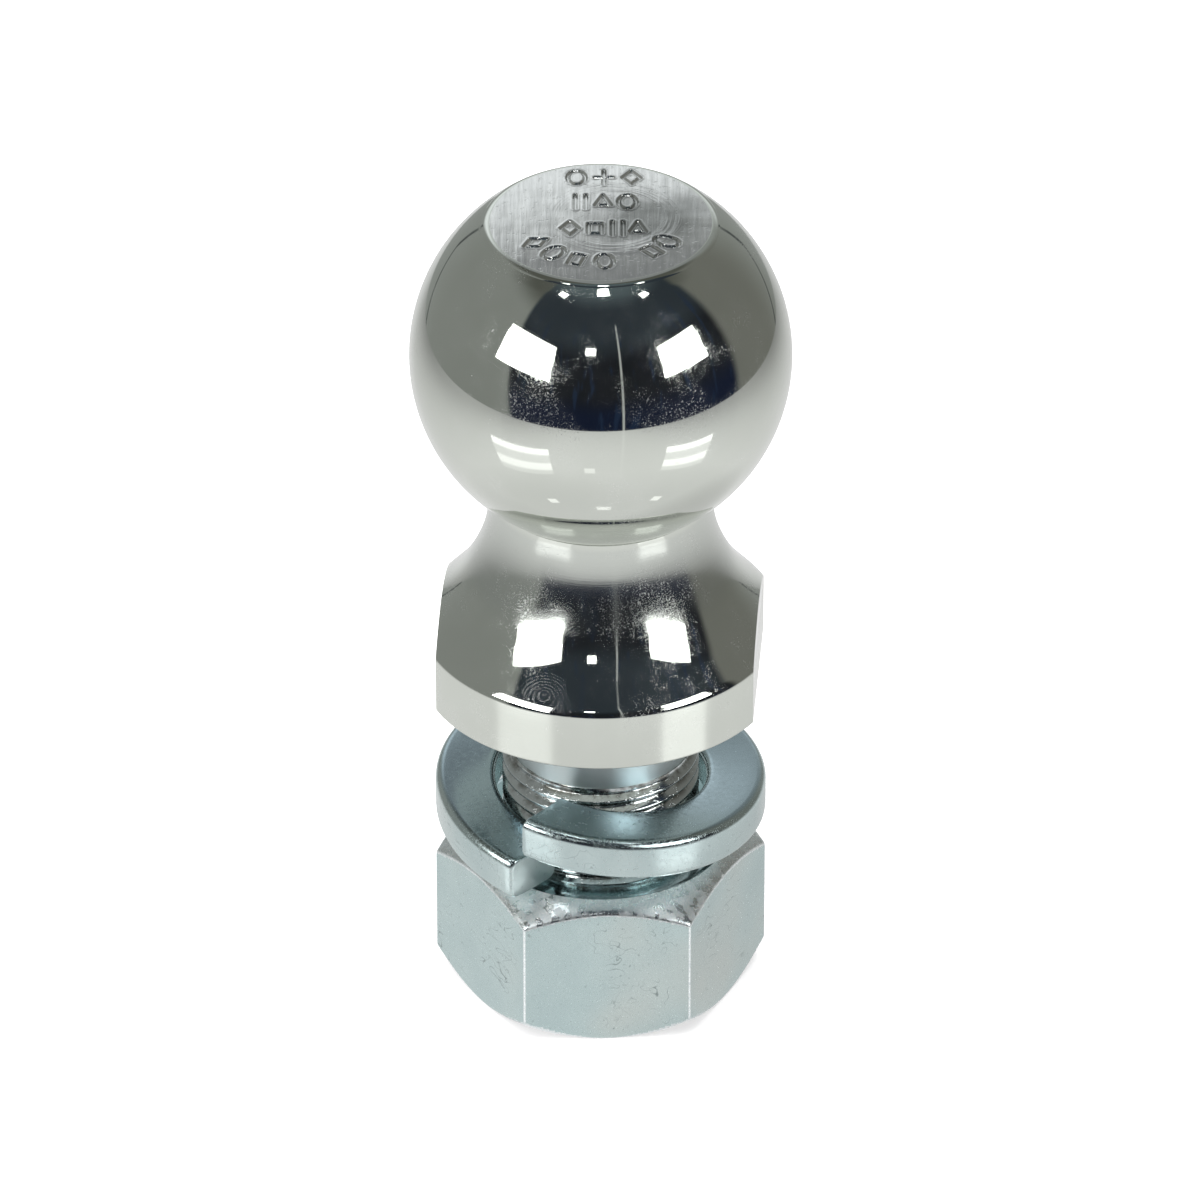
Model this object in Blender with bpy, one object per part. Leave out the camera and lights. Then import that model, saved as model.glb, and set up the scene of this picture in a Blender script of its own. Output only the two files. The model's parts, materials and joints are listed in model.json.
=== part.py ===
"""Trailer hitch ball: a one-piece chromed ball, pedestal and threaded shank, with its
split lock washer and hexagon nut.  Metres, +Z up along the shank's axis.  The origin is
at the centre of the nut's bottom face, which is what the loose part stands on."""
import math

import bmesh
import bpy
from mathutils import Matrix, Vector

MM = 0.001

# ---- driving dimensions: heights are measured from the nut's bottom face ----
BALL_DIAMETER = 47.625 * MM
BALL_CENTRE_Z = 91.2 * MM
TOP_FLAT_RISE = 19.25 * MM          # flat's height above the ball's centre
TOP_FLAT_EDGE = 0.6 * MM            # radius of the flat's rounded rim

NECK_DIAMETER = 28.1 * MM
SEAT_Z = BALL_CENTRE_Z - 46.8 * MM  # underside of the pedestal, which sits on the drawbar
PEDESTAL_DIAMETER = 45.7 * MM
BAND_HEIGHT = 7.45 * MM             # upright band at the foot of the pedestal
FLARE_NECK_RADIUS = 20 * MM         # hollow flare: two arcs, a cone and a rolled edge
FLARE_NECK_END = math.radians(20)   # tilt of the surface where the second arc begins
FLARE_MAIN_RADIUS = 26.5 * MM
FLARE_CONE_TILT = math.radians(41)
FLARE_ROLL_RADIUS = 3.6 * MM
FLARE_ROLL_END = math.radians(26)
FLARE_EDGE_RADIUS = 1.0 * MM
FOOT_BEVEL = 0.5 * MM

FLATS_ACROSS = 39.9 * MM            # two wrench flats on the pedestal
FLATS_TURN = math.radians(-4.1)
FLATS_TOP_Z = BALL_CENTRE_Z - 22 * MM

THREAD_PITCH = 25.4 * MM / 14
THREAD_DIAMETER = 25.0 * MM
THREAD_ROOT_DIAMETER = 23.3 * MM
THREAD_TOP_Z = BALL_CENTRE_Z - 57.3 * MM
SHANK_END_Z = 0.4 * MM
SHANK_END_CHAMFER = 1.6 * MM
RELIEF_DIAMETER = 23.1 * MM         # plain neck between the thread and the seat
RELIEF_FILLET = 1.2 * MM
THREAD_RUNOUT = 1.2 * MM

NUT_ACROSS_FLATS = 36.5 * MM
NUT_HEIGHT = 20.5 * MM
NUT_TURN = math.radians(2.55)
NUT_FACE_DIAMETER = 33.2 * MM       # flat ring left by the upper corner chamfer
NUT_CHAMFER = math.radians(36)
NUT_FOOT_DIAMETER = 36.0 * MM       # the lower chamfer only takes off the corners
NUT_FOOT_CHAMFER = math.radians(41)
NUT_MOUTH_DIAMETER = 26.8 * MM
THREAD_CLEARANCE = 0.22 * MM        # radial play between nut and shank

WASHER_OUTER_DIAMETER = 42.0 * MM
WASHER_INNER_DIAMETER = 26.9 * MM
WASHER_THICKNESS = 5.6 * MM
WASHER_HIGH_TOP_Z = BALL_CENTRE_Z - 57.5 * MM   # upper side of the raised end
WASHER_SPRING_RISE = 7.1 * MM      # how far the split ends stand apart
WASHER_LEAN = 1.92 * MM             # the washer lies a little askew on the shank
WASHER_LEAN_PHASE = math.radians(9)
WASHER_SPLIT_AT = math.radians(-114.8)
WASHER_GAP = math.radians(4)
WASHER_SKEW = math.radians(7.5)     # slant of the split across the section
WASHER_EDGE_TOP = 1.1 * MM
WASHER_EDGE_BOTTOM = 0.8 * MM

# ---- how finely curves are divided ----
TURNED_STEPS = 48
THREAD_STEPS = 32
WASHER_STEPS = 60
RIM_STEPS = 3
BALL_STEPS = 17
FLARE_NECK_STEPS = 4
FLARE_MAIN_STEPS = 6
FLARE_ROLL_STEPS = 2
FILLET_STEPS = 3
WASHER_EDGE_STEPS = 2

CUTTER_SIZE = 60 * MM
CUTTER_OVERRUN = 1 * MM             # how far a cutting tool reaches past its work


def clear_scene():
    for thing in list(bpy.data.objects):
        bpy.data.objects.remove(thing, do_unlink=True)


def metal(name, colour, roughness):
    """A plain metallic finish."""
    material = bpy.data.materials.new(name)
    material.use_nodes = True
    shader = material.node_tree.nodes["Principled BSDF"]
    shader.inputs["Base Color"].default_value = (*colour, 1.0)
    shader.inputs["Metallic"].default_value = 1.0
    shader.inputs["Roughness"].default_value = roughness
    return material


def add_object(name, bm, material=None):
    mesh = bpy.data.meshes.new(name)
    bm.to_mesh(mesh)
    bm.free()
    thing = bpy.data.objects.new(name, mesh)
    bpy.context.collection.objects.link(thing)
    if material:
        mesh.materials.append(material)
        mesh.shade_smooth()
        mesh.set_sharp_from_angle(angle=math.radians(30))
    return thing


def make_cutter(thing):
    """Tools stay in the scene as wires and are not pieces of the object."""
    thing.hide_render = True
    thing.display_type = "WIRE"
    return thing


def add_boolean(target, tool, operation):
    modifier = target.modifiers.new(tool.name, "BOOLEAN")
    modifier.operation = operation
    modifier.object = tool
    modifier.solver = "EXACT"


def arc(centre_r, centre_z, radius, start, end, steps):
    """Points of an arc in the turning plane, angles measured from +R towards +Z."""
    points = []
    for step in range(steps + 1):
        angle = start + (end - start) * step / steps
        points.append((centre_r + radius * math.cos(angle), centre_z + radius * math.sin(angle)))
    return points


def turned(name, profile, material=None):
    """A solid of revolution: the profile runs down its outer side, from axis to axis."""
    bm = bmesh.new()
    verts = [bm.verts.new((r, 0, z)) for r, z in profile]
    for upper, lower in zip(verts, verts[1:]):
        bm.edges.new((upper, lower))
    thing = add_object(name, bm, material)
    screw = thing.modifiers.new("turn", "SCREW")
    screw.steps = TURNED_STEPS
    screw.render_steps = TURNED_STEPS
    screw.use_merge_vertices = True
    screw.merge_threshold = 0.01 * MM
    return thing


def ball_profile():
    """Rounded flat on top, then the sphere down to the neck."""
    radius = BALL_DIAMETER / 2
    edge = TOP_FLAT_EDGE
    # the rim's rounding touches the flat and the inside of the sphere
    edge_z = TOP_FLAT_RISE - edge
    edge_r = math.sqrt((radius - edge) ** 2 - edge_z ** 2)
    tangent = math.atan2(edge_z, edge_r)
    neck_angle = -math.acos(NECK_DIAMETER / 2 / radius)
    points = [(0, BALL_CENTRE_Z + TOP_FLAT_RISE)]
    points += arc(edge_r, BALL_CENTRE_Z + edge_z, edge, math.pi / 2, tangent, RIM_STEPS)
    points += arc(0, BALL_CENTRE_Z, radius, tangent, neck_angle, BALL_STEPS)[1:]
    return points


def pedestal_profile():
    """Neck, hollow flare with a rolled edge, upright band and the flat seat."""
    neck_r = NECK_DIAMETER / 2
    foot_r = PEDESTAL_DIAMETER / 2
    band_z = SEAT_Z + BAND_HEIGHT
    turn, cone, rolled = FLARE_NECK_END, FLARE_CONE_TILT, FLARE_ROLL_END
    # upward from the band: edge, roll, then a cone that fills what the arcs leave over
    edge_centre = (foot_r - FLARE_EDGE_RADIUS, band_z)
    roll_offset = FLARE_ROLL_RADIUS - FLARE_EDGE_RADIUS
    roll_centre = (edge_centre[0] - roll_offset * math.cos(rolled), band_z - roll_offset * math.sin(rolled))
    cone_r = roll_centre[0] + FLARE_ROLL_RADIUS * math.cos(cone)
    cone_z = roll_centre[1] + FLARE_ROLL_RADIUS * math.sin(cone)
    main_r = neck_r + FLARE_NECK_RADIUS * (1 - math.cos(turn)) + FLARE_MAIN_RADIUS * math.cos(turn)
    main_z = (cone_z + (cone_r - main_r + FLARE_MAIN_RADIUS * math.cos(cone)) / math.tan(cone)
              + FLARE_MAIN_RADIUS * math.sin(cone))
    neck_z = main_z + (FLARE_NECK_RADIUS - FLARE_MAIN_RADIUS) * math.sin(turn)
    half = math.pi
    points = arc(neck_r + FLARE_NECK_RADIUS, neck_z, FLARE_NECK_RADIUS, half, half + turn, FLARE_NECK_STEPS)
    points += arc(main_r, main_z, FLARE_MAIN_RADIUS, half + turn, half + cone, FLARE_MAIN_STEPS)[1:]
    points += arc(*roll_centre, FLARE_ROLL_RADIUS, cone, rolled, FLARE_ROLL_STEPS)
    points += arc(*edge_centre, FLARE_EDGE_RADIUS, rolled, 0, FLARE_ROLL_STEPS)[1:]
    points += [(foot_r, SEAT_Z + FOOT_BEVEL), (foot_r - FOOT_BEVEL, SEAT_Z)]
    return points


def relief_profile():
    """Seat's inner edge, the fillet and the plain neck that ends inside the thread."""
    radius = RELIEF_DIAMETER / 2
    fillet = RELIEF_FILLET
    points = arc(radius + fillet, SEAT_Z - fillet, fillet, math.pi / 2, math.pi, FILLET_STEPS)
    inside = THREAD_TOP_Z - 2 * THREAD_PITCH
    points += [(radius, inside), (0, inside)]
    return points


def helix_body(name, crest, root, low, high, limit):
    """A closed threaded rod: crest and root lines climb right-handed round +Z.

    limit(z, r) may hold the radius in near the ends; low and high are flat cuts."""
    bm = bmesh.new()
    half = THREAD_PITCH / 2
    first = 2 * math.floor((low / THREAD_PITCH) - 2)
    last = 2 * math.ceil((high / THREAD_PITCH) + 1)
    columns = []
    for step in range(THREAD_STEPS):
        turn = step / THREAD_STEPS
        column = []
        for line in range(first, last + 1):
            z = line * half + turn * THREAD_PITCH
            r = limit(z, root if line % 2 else crest)
            angle = turn * 2 * math.pi
            column.append(bm.verts.new((r * math.cos(angle), r * math.sin(angle), z)))
        columns.append(column)
    # after one turn a line has climbed to the line two above it
    columns.append(columns[0][2:])
    for near, far in zip(columns, columns[1:]):
        rows = min(len(near), len(far)) - 1
        for row in range(rows):
            bm.faces.new((near[row], far[row], far[row + 1], near[row + 1]))
    for z, below in ((low, True), (high, False)):
        geometry = bm.verts[:] + bm.edges[:] + bm.faces[:]
        bmesh.ops.bisect_plane(bm, geom=geometry, dist=0.001 * MM, plane_co=(0, 0, z),
                               plane_no=(0, 0, 1), clear_inner=below, clear_outer=not below)
    bmesh.ops.holes_fill(bm, edges=[edge for edge in bm.edges if edge.is_boundary])
    bmesh.ops.triangulate(bm, faces=bm.faces[:])
    bmesh.ops.recalc_face_normals(bm, faces=bm.faces[:])
    return make_cutter(add_object(name, bm))


def shank_limit(z, r):
    """The thread runs out below the plain neck and is chamfered at the shank's end."""
    root = THREAD_ROOT_DIAMETER / 2
    crest = THREAD_DIAMETER / 2
    runout = root + (crest - root) * max(THREAD_TOP_Z - z, 0) / THREAD_RUNOUT
    chamfer = crest - SHANK_END_CHAMFER + max(z - SHANK_END_Z, 0)
    return min(r, runout, chamfer)


def nut_limit(z, r):
    """The nut's thread opens into a countersink at both faces."""
    mouth = NUT_MOUTH_DIAMETER / 2
    depth = min(z, NUT_HEIGHT - z)
    return min(max(r, mouth - depth), mouth)


def build_ball_shank():
    material = metal("chrome", (0.80, 0.82, 0.82), 0.08)
    profile = ball_profile() + pedestal_profile() + relief_profile()
    body = turned("ball_shank", profile, material)
    thread = helix_body("shank_thread", THREAD_DIAMETER / 2, THREAD_ROOT_DIAMETER / 2,
                        SHANK_END_Z, THREAD_TOP_Z, shank_limit)
    add_boolean(body, thread, "UNION")
    for side in (-1, 1):
        bm = bmesh.new()
        reach = FLATS_ACROSS / 2 + CUTTER_SIZE / 2
        low = SEAT_Z - CUTTER_OVERRUN
        bmesh.ops.create_cube(bm, size=1.0)
        size = Matrix.Diagonal((CUTTER_SIZE, CUTTER_SIZE, FLATS_TOP_Z - low, 1))
        place = Matrix.Translation((side * reach, 0, (low + FLATS_TOP_Z) / 2))
        bm.transform(Matrix.Rotation(FLATS_TURN, 4, "Z") @ place @ size)
        cutter = make_cutter(add_object("wrench_flat_cutter", bm))
        add_boolean(body, cutter, "DIFFERENCE")
    return body


def build_hex_nut():
    material = metal("zinc_nut", (0.62, 0.66, 0.66), 0.32)
    bm = bmesh.new()
    corner = NUT_ACROSS_FLATS / 2 / math.cos(math.pi / 6)
    bmesh.ops.create_cone(bm, segments=6, radius1=corner, radius2=corner, depth=NUT_HEIGHT, cap_ends=True)
    # create_cone sets its first corner on +Y, so the hexagon is turned to set one on +X
    turn = Matrix.Rotation(NUT_TURN + math.pi / 2, 4, "Z")
    bm.transform(Matrix.Translation((0, 0, NUT_HEIGHT / 2)) @ turn)
    nut = add_object("hex_nut", bm, material)
    face = NUT_FACE_DIAMETER / 2
    foot = NUT_FOOT_DIAMETER / 2
    reach = corner + CUTTER_OVERRUN
    drop = (reach - face) * math.tan(NUT_CHAMFER)
    rise = (reach - foot) * math.tan(NUT_FOOT_CHAMFER)
    chamfer = turned("nut_chamfer", [(0, NUT_HEIGHT), (face, NUT_HEIGHT), (reach, NUT_HEIGHT - drop),
                                     (reach, rise), (foot, 0), (0, 0)])
    add_boolean(nut, make_cutter(chamfer), "INTERSECT")
    crest = THREAD_DIAMETER / 2 + THREAD_CLEARANCE
    root = THREAD_ROOT_DIAMETER / 2 + THREAD_CLEARANCE
    thread = helix_body("nut_thread", crest, root, -CUTTER_OVERRUN,
                        NUT_HEIGHT + CUTTER_OVERRUN, nut_limit)
    add_boolean(nut, thread, "DIFFERENCE")
    return nut


def washer_section():
    """Rounded rectangle as (radius, height below the upper side), going round once."""
    outer = WASHER_OUTER_DIAMETER / 2
    inner = WASHER_INNER_DIAMETER / 2
    top = WASHER_EDGE_TOP
    bottom = WASHER_EDGE_BOTTOM
    deep = WASHER_THICKNESS
    steps = WASHER_EDGE_STEPS
    quarter = math.pi / 2
    points = arc(outer - top, -top, top, 0, quarter, steps)
    points += arc(inner + top, -top, top, quarter, 2 * quarter, steps)
    points += arc(inner + bottom, bottom - deep, bottom, 2 * quarter, 3 * quarter, steps)
    points += arc(outer - bottom, bottom - deep, bottom, 3 * quarter, 4 * quarter, steps)
    return points


def washer_top_z(along, travelled):
    """Upper side of the washer: it winds down from the raised end, and leans as a whole."""
    lean = math.sin(travelled - WASHER_LEAN_PHASE) + math.sin(WASHER_LEAN_PHASE)
    return WASHER_HIGH_TOP_Z - WASHER_SPRING_RISE * along - WASHER_LEAN * lean


def build_lock_washer():
    material = metal("zinc_washer", (0.52, 0.57, 0.58), 0.28)
    bm = bmesh.new()
    section = washer_section()
    middle = (WASHER_OUTER_DIAMETER + WASHER_INNER_DIAMETER) / 4
    width = (WASHER_OUTER_DIAMETER - WASHER_INNER_DIAMETER) / 2
    sweep = 2 * math.pi - WASHER_GAP
    rings = []
    for step in range(WASHER_STEPS + 1):
        along = step / WASHER_STEPS
        travelled = along * sweep
        top = washer_top_z(along, travelled)
        ring = []
        for r, z in section:
            angle = WASHER_SPLIT_AT + travelled - WASHER_SKEW * (r - middle) / width
            ring.append(bm.verts.new((r * math.cos(angle), r * math.sin(angle), top + z)))
        rings.append(ring)
    count = len(section)
    for near, far in zip(rings, rings[1:]):
        for index in range(count):
            after = (index + 1) % count
            bm.faces.new((near[index], near[after], far[after], far[index]))
    bm.faces.new(rings[0])
    bm.faces.new(rings[-1])
    bmesh.ops.recalc_face_normals(bm, faces=bm.faces[:])
    return add_object("lock_washer", bm, material)


clear_scene()
build_ball_shank()
build_lock_washer()
build_hex_nut()
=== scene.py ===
"""Looks of the trailer hitch ball: polished chrome forging, zinc-plated washer and nut."""
import json
import math

import bmesh
import bpy
import numpy as np
from mathutils import Matrix, Vector
from mathutils.geometry import delaunay_2d_cdt


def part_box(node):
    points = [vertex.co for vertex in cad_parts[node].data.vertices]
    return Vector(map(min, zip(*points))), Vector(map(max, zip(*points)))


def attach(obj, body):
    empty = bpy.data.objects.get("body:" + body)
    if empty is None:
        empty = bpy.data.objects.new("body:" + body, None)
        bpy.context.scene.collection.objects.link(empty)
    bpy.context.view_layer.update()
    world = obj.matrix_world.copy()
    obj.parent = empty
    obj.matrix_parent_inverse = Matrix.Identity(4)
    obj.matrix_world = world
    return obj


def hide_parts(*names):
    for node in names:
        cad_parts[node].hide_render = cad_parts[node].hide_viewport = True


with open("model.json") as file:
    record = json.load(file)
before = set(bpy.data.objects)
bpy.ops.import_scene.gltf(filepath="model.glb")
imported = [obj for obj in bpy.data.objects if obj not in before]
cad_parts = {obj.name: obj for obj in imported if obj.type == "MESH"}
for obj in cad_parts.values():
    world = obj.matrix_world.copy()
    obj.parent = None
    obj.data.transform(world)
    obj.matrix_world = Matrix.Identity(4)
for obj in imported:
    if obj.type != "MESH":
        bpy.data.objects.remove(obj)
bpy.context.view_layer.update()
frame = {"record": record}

MM = 0.001

# ---- places, from the frame and the ball's own size ----
shank_low, shank_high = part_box("ball_shank")
washer_low, washer_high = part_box("lock_washer")
nut_low, nut_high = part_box("hex_nut")
mounts = {mount["name"]: mount for mount in frame["record"]["mounts"]}
SEAT_Z = mounts["drawbar_seat"]["pos_m"][2]
TOP_Z = shank_high.z
TOP_FLAT_RISE = 19.25 * MM
BALL_Z = TOP_Z - TOP_FLAT_RISE
BALL_R = 47.625 * MM / 2

# ---- sizes of the forging ----
RIM_ROUND = 1.3 * MM
RIM_LIP = math.radians(40)         # the rounding starts a little steeper than the sphere
NECK_R = 14.05 * MM
NECK_ROOT_ROUND = 0.35 * MM
PEDESTAL_R = 22.85 * MM
BAND_Z = SEAT_Z + 7.45 * MM        # top of the upright band
FLARE_NECK_R = 20 * MM             # hollow flare: two arcs, a cone, then a rolled edge
FLARE_NECK_END = math.radians(20)
FLARE_MAIN_R = 26.5 * MM
FLARE_CONE_TILT = math.radians(41)
FLARE_ROLL_R = 3.6 * MM
FLARE_ROLL_END = math.radians(26)
FLARE_EDGE_R = 1.0 * MM
FOOT_ROUND = 0.35 * MM
FLAT_AXIS = Vector(mounts["wrench_flat_right"]["axis"])
FLAT_D = Vector(mounts["wrench_flat_right"]["pos_m"]).dot(FLAT_AXIS)
RELIEF_R = 11.55 * MM
RELIEF_FILLET = 1.0 * MM

FLAT_RIM_R = 13.4 * MM             # the ball's ground top flat
CROWN = 0.10 * MM                  # it falls away this much to its rim
SWIRL_CENTRE = (1.6 * MM, 1.0 * MM)
STAMP_HALF_WIDTH = 0.34 * MM       # of a stroke
STAMP_DEPTH = 0.24 * MM
STAMP_WIDTH = 2.2 * MM             # of a mark
STAMP_HEIGHT = 3.3 * MM
STAMP_ARC_R = 9.4 * MM

PITCH = 25.4 * MM / 14
THREAD_R = 12.5 * MM
THREAD_ROOT_R = 11.65 * MM
THREAD_TOP_Z = BALL_Z - 57.3 * MM
END_CHAMFER = 1.6 * MM

NUT_FLAT_D = 18.25 * MM
NUT_TURN = math.radians(2.55)
NUT_FACE_R = 16.6 * MM
NUT_CHAMFER = math.radians(36)
NUT_FOOT_R = 18.0 * MM
NUT_FOOT_CHAMFER = math.radians(41)
NUT_MOUTH_R = 13.4 * MM
NUT_PLAY = 0.22 * MM
NUT_CORNER_WEAR = 0.09 * MM        # how far each kind of edge is rounded over
NUT_CHAMFER_WEAR = 0.22 * MM
NUT_FOOT_WEAR = 0.10 * MM
NUT_TOP_BAND = 4.2 * MM            # heights with close rings, for the two chamfers
NUT_FOOT_BAND = 3.4 * MM
NUT_SHARP = 25

WASHER_OUT_R = (washer_high.x - washer_low.x) / 2
WASHER_IN_R = 13.45 * MM
WASHER_THICK = 5.6 * MM
WASHER_RISE = 7.1 * MM
WASHER_LEAN = 1.92 * MM
WASHER_LEAN_PHASE = math.radians(9)
WASHER_HIGH_TOP = BALL_Z - 57.5 * MM
WASHER_START = math.radians(-114.8)
WASHER_GAP = math.radians(4)
WASHER_SKEW = math.radians(7.5)

# ---- stage ----
TABLE_R = 372 * MM
CAMERA_BACK = 1196.7 * MM          # a pinhole camera fitted to the photograph, rounded
CAMERA_ABOVE_BALL = 744.3 * MM
CAMERA_DIP = math.radians(33.12)
CAMERA_LENS = 340.5
CAMERA_SENSOR = 36.0
CAMERA_SHIFT = -0.0006


# =============================== mesh helpers ===============================
def arc(centre_r, centre_z, radius, start, end, steps):
    """Points (r, z) along an arc, both ends included."""
    angles = [start + (end - start) * step / steps for step in range(steps + 1)]
    return [(centre_r + radius * math.cos(a), centre_z + radius * math.sin(a)) for a in angles]


def straight(start, end, steps):
    """Points along a line, without its start."""
    return [(start[0] + (end[0] - start[0]) * s / steps, start[1] + (end[1] - start[1]) * s / steps)
            for s in range(1, steps + 1)]


def mesh_object(name, bm, materials):
    mesh = bpy.data.meshes.new(name)
    bm.to_mesh(mesh)
    bm.free()
    for material in materials:
        mesh.materials.append(material)
    thing = bpy.data.objects.new(name, mesh)
    bpy.context.collection.objects.link(thing)
    return thing


def finish_mesh(name, bm, materials, sharp_degrees):
    """A smooth-shaded piece whose edges stay sharp past the given angle."""
    piece = mesh_object(name, bm, materials)
    piece.data.shade_smooth()
    piece.data.set_sharp_from_angle(angle=math.radians(sharp_degrees))
    return piece


def ring_of(bm, radii, z, angles):
    return [bm.verts.new((r * math.cos(a), r * math.sin(a), z)) for a, r in zip(angles, radii)]


def lathe(bm, profile, angles):
    """Rings of the profile (outer side, top to bottom); returns the rings."""
    rings = []
    for r, z in profile:
        if r < 1e-7:
            rings.append([bm.verts.new((0, 0, z))])
        else:
            rings.append(ring_of(bm, [r] * len(angles), z, angles))
    skin_rings(bm, rings)
    return rings


def skin_rings(bm, rings):
    """Faces between neighbouring rings; a ring of one vertex closes an end."""
    for upper, lower in zip(rings, rings[1:]):
        count = max(len(upper), len(lower))
        for i in range(count):
            j = (i + 1) % count
            if len(upper) == 1:
                bm.faces.new((upper[0], lower[i], lower[j]))
            elif len(lower) == 1:
                bm.faces.new((upper[i], lower[0], upper[j]))
            else:
                bm.faces.new((upper[i], lower[i], lower[j], upper[j]))


def press_flat(bm, normal, distance, low, high):
    """Cuts a flat on the stretch between two heights: what stands past it is pressed onto it."""
    faces = [f for f in bm.faces if low < f.calc_center_median().z < high]
    geometry = set(faces)
    for face in faces:
        geometry.update(face.edges)
        geometry.update(face.verts)
    bmesh.ops.bisect_plane(bm, geom=list(geometry), dist=1e-7,
                           plane_co=normal * distance, plane_no=normal)
    for vert in bm.verts:
        past = vert.co.dot(normal) - distance
        if past > 0 and low < vert.co.z < high:
            vert.co -= normal * past


def helix_solid(bm, profile, low, high, steps, limit):
    """A closed threaded rod; profile is (share of a pitch, radius) in climbing order."""
    per = len(profile)
    first = math.floor(low / PITCH) - 2
    turns = math.ceil(high / PITCH) + 1 - first
    columns = []
    for step in range(steps):
        turn = step / steps
        angle = 2 * math.pi * turn
        column = []
        for line in range(turns * per + 1):
            share, r = profile[line % per]
            z = (first + line // per + share + turn) * PITCH
            r = limit(z, r)
            column.append(bm.verts.new((r * math.cos(angle), r * math.sin(angle), z)))
        columns.append(column)
    columns.append(columns[0][per:])
    for near, far in zip(columns, columns[1:]):
        for row in range(min(len(near), len(far)) - 1):
            bm.faces.new((near[row], far[row], far[row + 1], near[row + 1]))
    for z, below in ((low, True), (high, False)):
        geometry = bm.verts[:] + bm.edges[:] + bm.faces[:]
        bmesh.ops.bisect_plane(bm, geom=geometry, dist=1e-7, plane_co=(0, 0, z),
                               plane_no=(0, 0, 1), clear_inner=below, clear_outer=not below)
    bmesh.ops.holes_fill(bm, edges=[edge for edge in bm.edges if edge.is_boundary])
    bmesh.ops.recalc_face_normals(bm, faces=bm.faces[:])


# =============================== node helpers ===============================
class Nodes:
    """Short calls to grow a node tree; a value may be a number, a tuple or a socket."""

    def __init__(self, tree):
        self.tree = tree

    def add(self, kind, values=None, out=0, **settings):
        node = self.tree.nodes.new(kind)
        for key, value in settings.items():
            setattr(node, key, value)
        for key, value in (values or {}).items():
            socket = node.inputs[key]
            if isinstance(value, bpy.types.NodeSocket):
                self.tree.links.new(value, socket)
            else:
                socket.default_value = value
        return node.outputs[out]

    def math(self, operation, a, b=0.0, clamp=False):
        return self.add("ShaderNodeMath", {0: a, 1: b}, operation=operation, use_clamp=clamp)

    def noise(self, vector, scale, detail=2.0, roughness=0.5, distortion=0.0):
        return self.add("ShaderNodeTexNoise", {"Vector": vector, "Scale": scale, "Detail": detail,
                                               "Roughness": roughness, "Distortion": distortion})

    def ramp(self, value, low, high, to_low=0.0, to_high=1.0, smooth=True):
        return self.add("ShaderNodeMapRange", {"Value": value, "From Min": low, "From Max": high,
                                               "To Min": to_low, "To Max": to_high},
                        interpolation_type="SMOOTHSTEP" if smooth else "LINEAR")

    def mix(self, factor, a, b):
        node = self.tree.nodes.new("ShaderNodeMix")
        node.data_type = "RGBA"
        for index, value in ((0, factor), (6, a), (7, b)):
            if isinstance(value, bpy.types.NodeSocket):
                self.tree.links.new(value, node.inputs[index])
            elif index:
                node.inputs[index].default_value = (*value, 1.0)
            else:
                node.inputs[index].default_value = value
        return node.outputs[2]

    def stretch(self, vector, x, y, z, turn=0.0):
        return self.add("ShaderNodeMapping", {"Vector": vector, "Scale": (x, y, z),
                                              "Rotation": (0, 0, turn)}, vector_type="POINT")

    def xyz(self, vector):
        split = self.tree.nodes.new("ShaderNodeSeparateXYZ")
        self.tree.links.new(vector, split.inputs[0])
        return split.outputs[0], split.outputs[1], split.outputs[2]

    def combine(self, x, y, z):
        return self.add("ShaderNodeCombineXYZ", {0: x, 1: y, 2: z})

    def times(self, a, b):
        return self.math("MULTIPLY", a, b)

    def plus(self, a, b, clamp=False):
        return self.math("ADD", a, b, clamp)

    def minus(self, a, b):
        return self.math("SUBTRACT", a, b)

    def reach(self, x, y):
        """Distance of (x, y) from the origin."""
        return self.math("SQRT", self.plus(self.times(x, x), self.times(y, y)))

    def bump(self, height, distance, normal=None):
        values = {"Height": height, "Distance": distance, "Strength": 1.0}
        if normal is not None:
            values["Normal"] = normal
        return self.add("ShaderNodeBump", values)


def new_material(name):
    material = bpy.data.materials.new(name)
    material.use_nodes = True
    material.node_tree.nodes.clear()
    nodes = Nodes(material.node_tree)
    place = nodes.add("ShaderNodeTexCoord", out=3)
    return material, nodes, place


def finish_material(nodes, colour, roughness, normal, haze=0.0, haze_roughness=0.3):
    values = {"Base Color": colour, "Metallic": 1.0, "Roughness": roughness, "Normal": normal,
              "Coat Weight": haze}
    shader = nodes.add("ShaderNodeBsdfPrincipled", values)
    shader.node.inputs["Coat Roughness"].default_value = haze_roughness
    shader.node.inputs["Coat IOR"].default_value = 2.1
    output = nodes.tree.nodes.new("ShaderNodeOutputMaterial")
    nodes.tree.links.new(shader, output.inputs["Surface"])


def polar(nodes, place):
    """(turn round the axis in radians, distance from the axis, height)."""
    x, y, z = nodes.xyz(place)
    return nodes.math("ARCTAN2", y, x), nodes.reach(x, y), z


def hairlines(nodes, place, scale, width, turn, length=14.0, rare=0.55):
    """Thin lines where a stretched noise crosses its middle, broken up by a second noise."""
    lines = nodes.noise(nodes.stretch(place, scale, scale / length, scale, turn), 1.0, 1.0, 0.5, 0.6)
    near = nodes.math("ABSOLUTE", nodes.minus(lines, 0.5))
    line = nodes.ramp(near, 0.0, width, 1.0, 0.0)
    patches = nodes.ramp(nodes.noise(place, scale * 0.25, 2.0), rare, rare + 0.10)
    return nodes.times(line, patches)


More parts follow.
